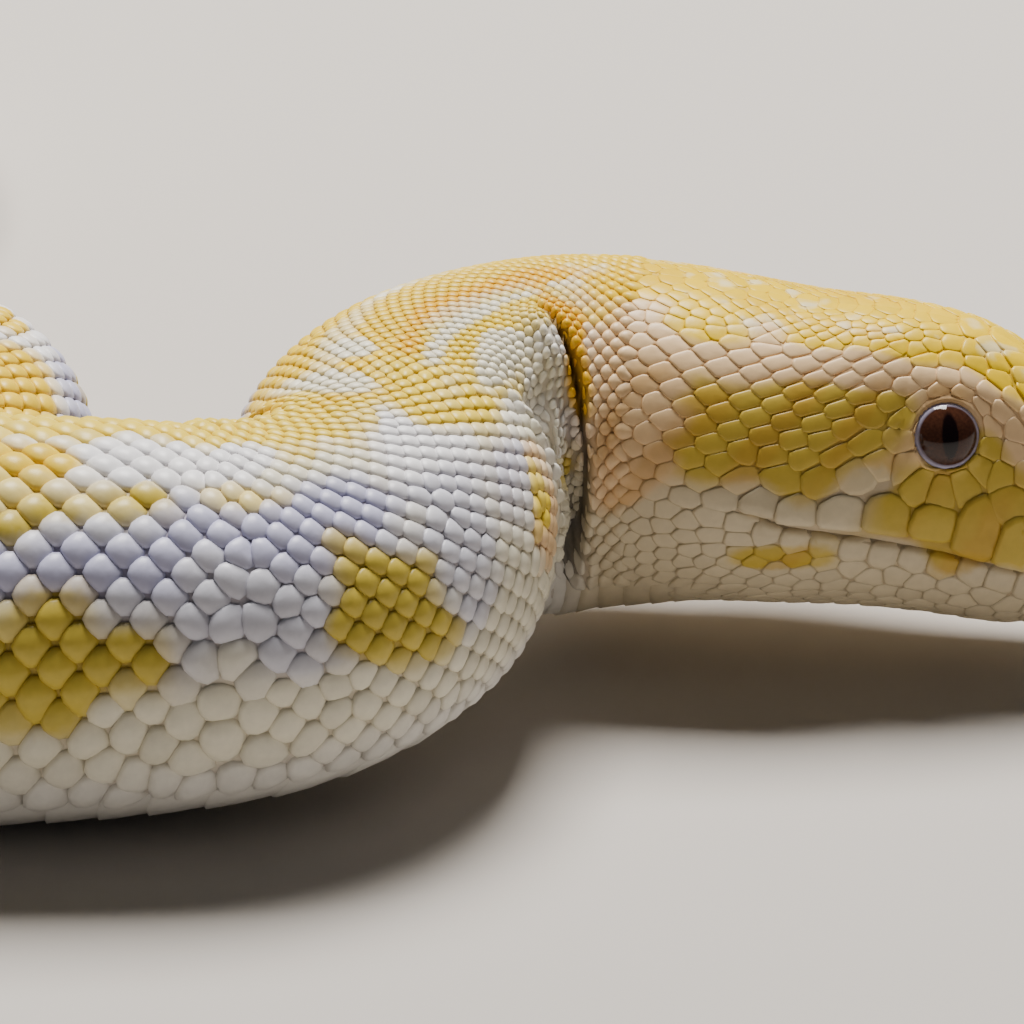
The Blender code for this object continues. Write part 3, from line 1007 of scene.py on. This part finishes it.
def make_belly():
    """The belly plates: one wide plate after another, each with its rear edge over the next."""
    profile = ((-0.3, -0.3), (-0.1, 0.3), (0.5, 0.75), (0.98, 1.0), (1.04, -0.4))
    s, rows = THROAT, []
    while s < LENGTH - 0.012:
        pitch = np.interp(s, (0.04, 0.09, 0.17, 0.8, 1.3, 1.7, 1.96), (3, 4.5, 6.4, 7.5, 7, 5, 2.6))
        rows.append((s, pitch / 1000))
        s += pitch / 1000
    across = np.linspace(-1, 1, BELLY_POINTS)
    start, pitch = np.array(rows).T[:, :, None, None]
    share, up = np.array(profile).T[:, :, None]
    s = start + pitch * (share - 0.35 * abs(across) ** 6)
    angle = np.broadcast_to(pi + across * (pi - BELLY_EDGE + 0.1), s.shape)
    up = np.where(abs(across) > 0.999, -0.0003, coat_depth(start) * (0.25 + 0.7 * up))
    points = surface(s, angle, up).reshape(-1, 3)
    count, size = len(rows), len(profile) * BELLY_POINTS
    tint = np.repeat(markings(start.ravel(), np.full(count, pi)), size, 0)
    number = np.arange(count)[:, None, None] / count
    u, v = np.broadcast_arrays(0.01 + 0.98 * number + 0.002 * share, 0.5 + 0.0015 * across)
    uv = np.stack([u, v], -1).reshape(-1, 2)
    grid = np.arange(size).reshape(-1, BELLY_POINTS)
    corners = grid[1:, :-1], grid[1:, 1:], grid[:-1, 1:], grid[:-1, :-1]
    quads = np.stack([corner.ravel() for corner in corners], 1)
    return plain_mesh("belly_plates", points, repeated([quads], count, size), tint, uv)


# Finishes.


def feed(socket, value):
    """Links another socket to this one, or gives it a value. A text is the code of a colour."""
    if isinstance(value, bpy.types.NodeSocket):
        socket.id_data.links.new(value, socket)
    else:
        socket.default_value = (*linear(value), 1) if isinstance(value, str) else value


def node(tree, kind, settings=None, numbered=None, **named):
    """The outputs of a new node. Its inputs go by number, or by name with _ for a space."""
    made = tree.nodes.new("ShaderNode" + kind)
    for key, value in (settings or {}).items():
        setattr(made, key, value)
    for key, value in (numbered or {}).items():
        feed(made.inputs[key], value)
    for key, value in named.items():
        feed(made.inputs[key.replace("_", " ")], value)
    return made.outputs


def blend(tree, share, first, second):
    return node(tree, "Mix", {"data_type": "RGBA"}, {6: first, 7: second}, Factor=share)[2]


def vector(tree, operation, first, second):
    return node(tree, "VectorMath", {"operation": operation}, {0: first, 1: second})


def finish(name, **values):
    """A material with these values on its shader, and the shader's inputs and node tree."""
    made = bpy.data.materials.new(name)
    made.use_nodes = True
    shader = made.node_tree.nodes["Principled BSDF"]
    for key, value in values.items():
        feed(shader.inputs[key.replace("_", " ")], value)
    return made, shader.inputs, made.node_tree


def keratin(name, roughness, grain, bump):
    """Reptile scale: thin keratin, smooth and slightly waxy, with a soft broad highlight."""
    made, inputs, tree = finish(name, Roughness=roughness, IOR=1.5, Specular_IOR_Level=0.28)
    tint = node(tree, "VertexColor", {"layer_name": "Tint"})["Color"]
    place = node(tree, "TexCoord")["Object"]
    noise = node(tree, "TexNoise", Vector=place, Scale=grain, Detail=3.0)["Fac"]
    tone = node(tree, "MapRange", Value=noise, To_Min=0.9, To_Max=1.08)["Result"]
    shaded = node(tree, "VectorMath", {"operation": "SCALE"}, {0: tint}, Scale=tone)
    feed(inputs["Base Color"], shaded["Vector"])
    relief = node(tree, "Bump", Height=noise, Strength=bump, Distance=0.0003)
    feed(inputs["Normal"], relief["Normal"])
    return made


def eye_finish():
    """The clear scale over the eye, wet-looking, over a red-brown iris with an upright slit."""
    made, inputs, tree = finish("clear spectacle over a red-brown iris", Roughness=0.05, IOR=1.4)
    front = node(tree, "UVMap", {"uv_map": "Front"})["UV"]
    middle = (0.5, 0.5, 0.0)
    offset = vector(tree, "SUBTRACT", front, middle)["Vector"]
    sized = vector(tree, "DIVIDE", offset, (0.1, 0.28, 1.0))["Vector"]
    square = vector(tree, "DOT_PRODUCT", sized, sized)["Value"]
    slit = node(tree, "MapRange", Value=square, From_Min=0.8, From_Max=1.3)["Result"]
    noise = node(tree, "TexNoise", Vector=front, Scale=26.0, Detail=4.0)["Fac"]
    iris = blend(tree, slit, "100506", blend(tree, noise, "1E0C09", "543222"))
    far = vector(tree, "DISTANCE", front, middle)["Value"]
    edge = node(tree, "MapRange", Value=far, From_Min=0.35, From_Max=0.39)["Result"]
    feed(inputs["Base Color"], blend(tree, edge, iris, "B4B0CA"))
    return made


def make_eye(name, hand):
    """An eyeball, with its rings crowded towards the front, where the iris and the slit are."""
    centre, out = eye_place(hand)
    upright = unit(np.array([0, 0, 1]) - out * out[2])
    across = np.cross(upright, out)
    sides = 48
    polar = np.linspace(0, 1, 30)[1:-1, None, None] ** 1.3 * pi
    turn = ring_turns(sides)[:, None]
    flat = np.cos(turn) * across + np.sin(turn) * upright
    around = (np.sin(polar) * flat + np.cos(polar) * out).reshape(-1, 3)
    directions = join([[out], around, [-out]])
    points = centre + directions * EYE_RADIUS
    rings = [np.arange(sides) + 1 + sides * k for k in range(len(polar))]
    quads = join([band(second, first) for first, second in zip(rings, rings[1:])])
    faces = [quads, join(caps(rings, len(points) - 1))]
    flat = np.stack([directions @ across, directions @ upright], 1) * 0.49 + 0.5
    return plain_mesh(name, points, faces, np.ones(3), flat, "Front")


# The studio.


def aim(made, place, target):
    made.location = place
    made.rotation_euler = (Vector(target) - Vector(place)).to_track_quat("-Z", "Y").to_euler()


def make_camera():
    camera = bpy.data.cameras.new("camera")
    camera.lens = 259.5
    camera.sensor_width = 36.0
    camera.clip_start = 0.01
    made = placed("camera", camera)
    raised = radians(24)
    target = Vector((SNOUT[0] - 0.0815, SNOUT[1] - 0.02877, 0.03309))
    aim(made, target + 0.9 * Vector((0, -cos(raised), sin(raised))), target)
    bpy.context.scene.camera = made


def make_studio():
    """A pale matt floor and a broad light overhead and a little behind."""
    mesh = bpy.data.meshes.new("floor")
    mesh.from_pydata([(-4, -4, 0), (4, -4, 0), (4, 4, 0), (-4, 4, 0)], [], [(0, 1, 2, 3)])
    mesh.materials.append(finish("matt paper backdrop", Base_Color="C4BEB8", Roughness=0.9)[0])
    placed("floor", mesh)
    light = bpy.data.lights.new("sky_panel", "AREA")
    light.energy = 42
    light.size = 0.6
    light.color = (1.0, 0.97, 0.92)
    aim(placed("sky_panel", light), (0.16, 0.45, 1.15), (0.1, 0.0, 0.03))
    world = bpy.data.worlds.new("studio")
    world.use_nodes = True
    sky = world.node_tree.nodes["Background"].inputs
    sky["Color"].default_value = (0.82, 0.89, 1.0, 1)
    sky["Strength"].default_value = 0.06
    bpy.context.scene.world = world


def settle(piece, coat):
    piece.data.materials.append(coat)
    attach(piece, "root")
    return piece


def make_coat(coat, skin):
    """The scales of the head and of the body, in pieces of a size that the frame allows."""
    tree = bvhtree.BVHTree.FromObject(skin, bpy.context.evaluated_depsgraph_get())
    random = np.random.default_rng(7)
    head = head_places(random)
    body = relaxed(filled(body_places(random)), 8)
    body = body[np.argsort(body[:, 0], kind="stable")]
    ghosts = body[abs(body[:, 1]) > BELLY_EDGE - 0.25]
    ghosts[:, 1] = np.sign(ghosts[:, 1]) * (2 * BELLY_EDGE - abs(ghosts[:, 1]) + 0.06)
    places = join([head, body])
    first = len(head)
    near = first + (body[:, 0] < FINE_END).sum()
    face = [reach[:first] for reach in outlines(places, ghosts, 16, 14, 1.1)]
    made = [make_scales("scales_head", head, face, (0, 0.07), tree=tree, **HEAD_SCALE)]
    for low, high, sides in ((first, near, 14), (near, len(places), 12)):
        shape = outlines(places, ghosts, sides, 5)
        chunk = MOST_TRIANGLES // (sides * (2 * len(RINGS) - 1))
        for start in range(low, high, chunk):
            part = slice(start, min(start + chunk, high))
            span = places[part][[0, -1], 0] + (-0.004, 0.004)
            reach = [steps[part] for steps in shape]
            name = f"scales_{len(made):02d}"
            made.append(make_scales(name, places[part], reach, span, **BODY_SCALE))
    for piece in made:
        settle(piece, coat)


def main():
    make_camera()
    make_studio()
    scale_coat = keratin("keratin scales, waxy", 0.36, 900.0, 0.1)
    skin_coat = keratin("soft skin between scales", 0.55, 1600.0, 0.25)
    skin = settle(make_skin(), skin_coat)
    flesh = [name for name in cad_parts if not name.startswith("eye_")]
    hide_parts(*flesh)
    eye = eye_finish()
    for side, hand in (("left", -1), ("right", 1)):
        ball = settle(make_eye("eyeball_" + side, hand), eye)
        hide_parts("eye_" + side)
    settle(make_belly(), scale_coat)
    make_coat(scale_coat, skin)


main()
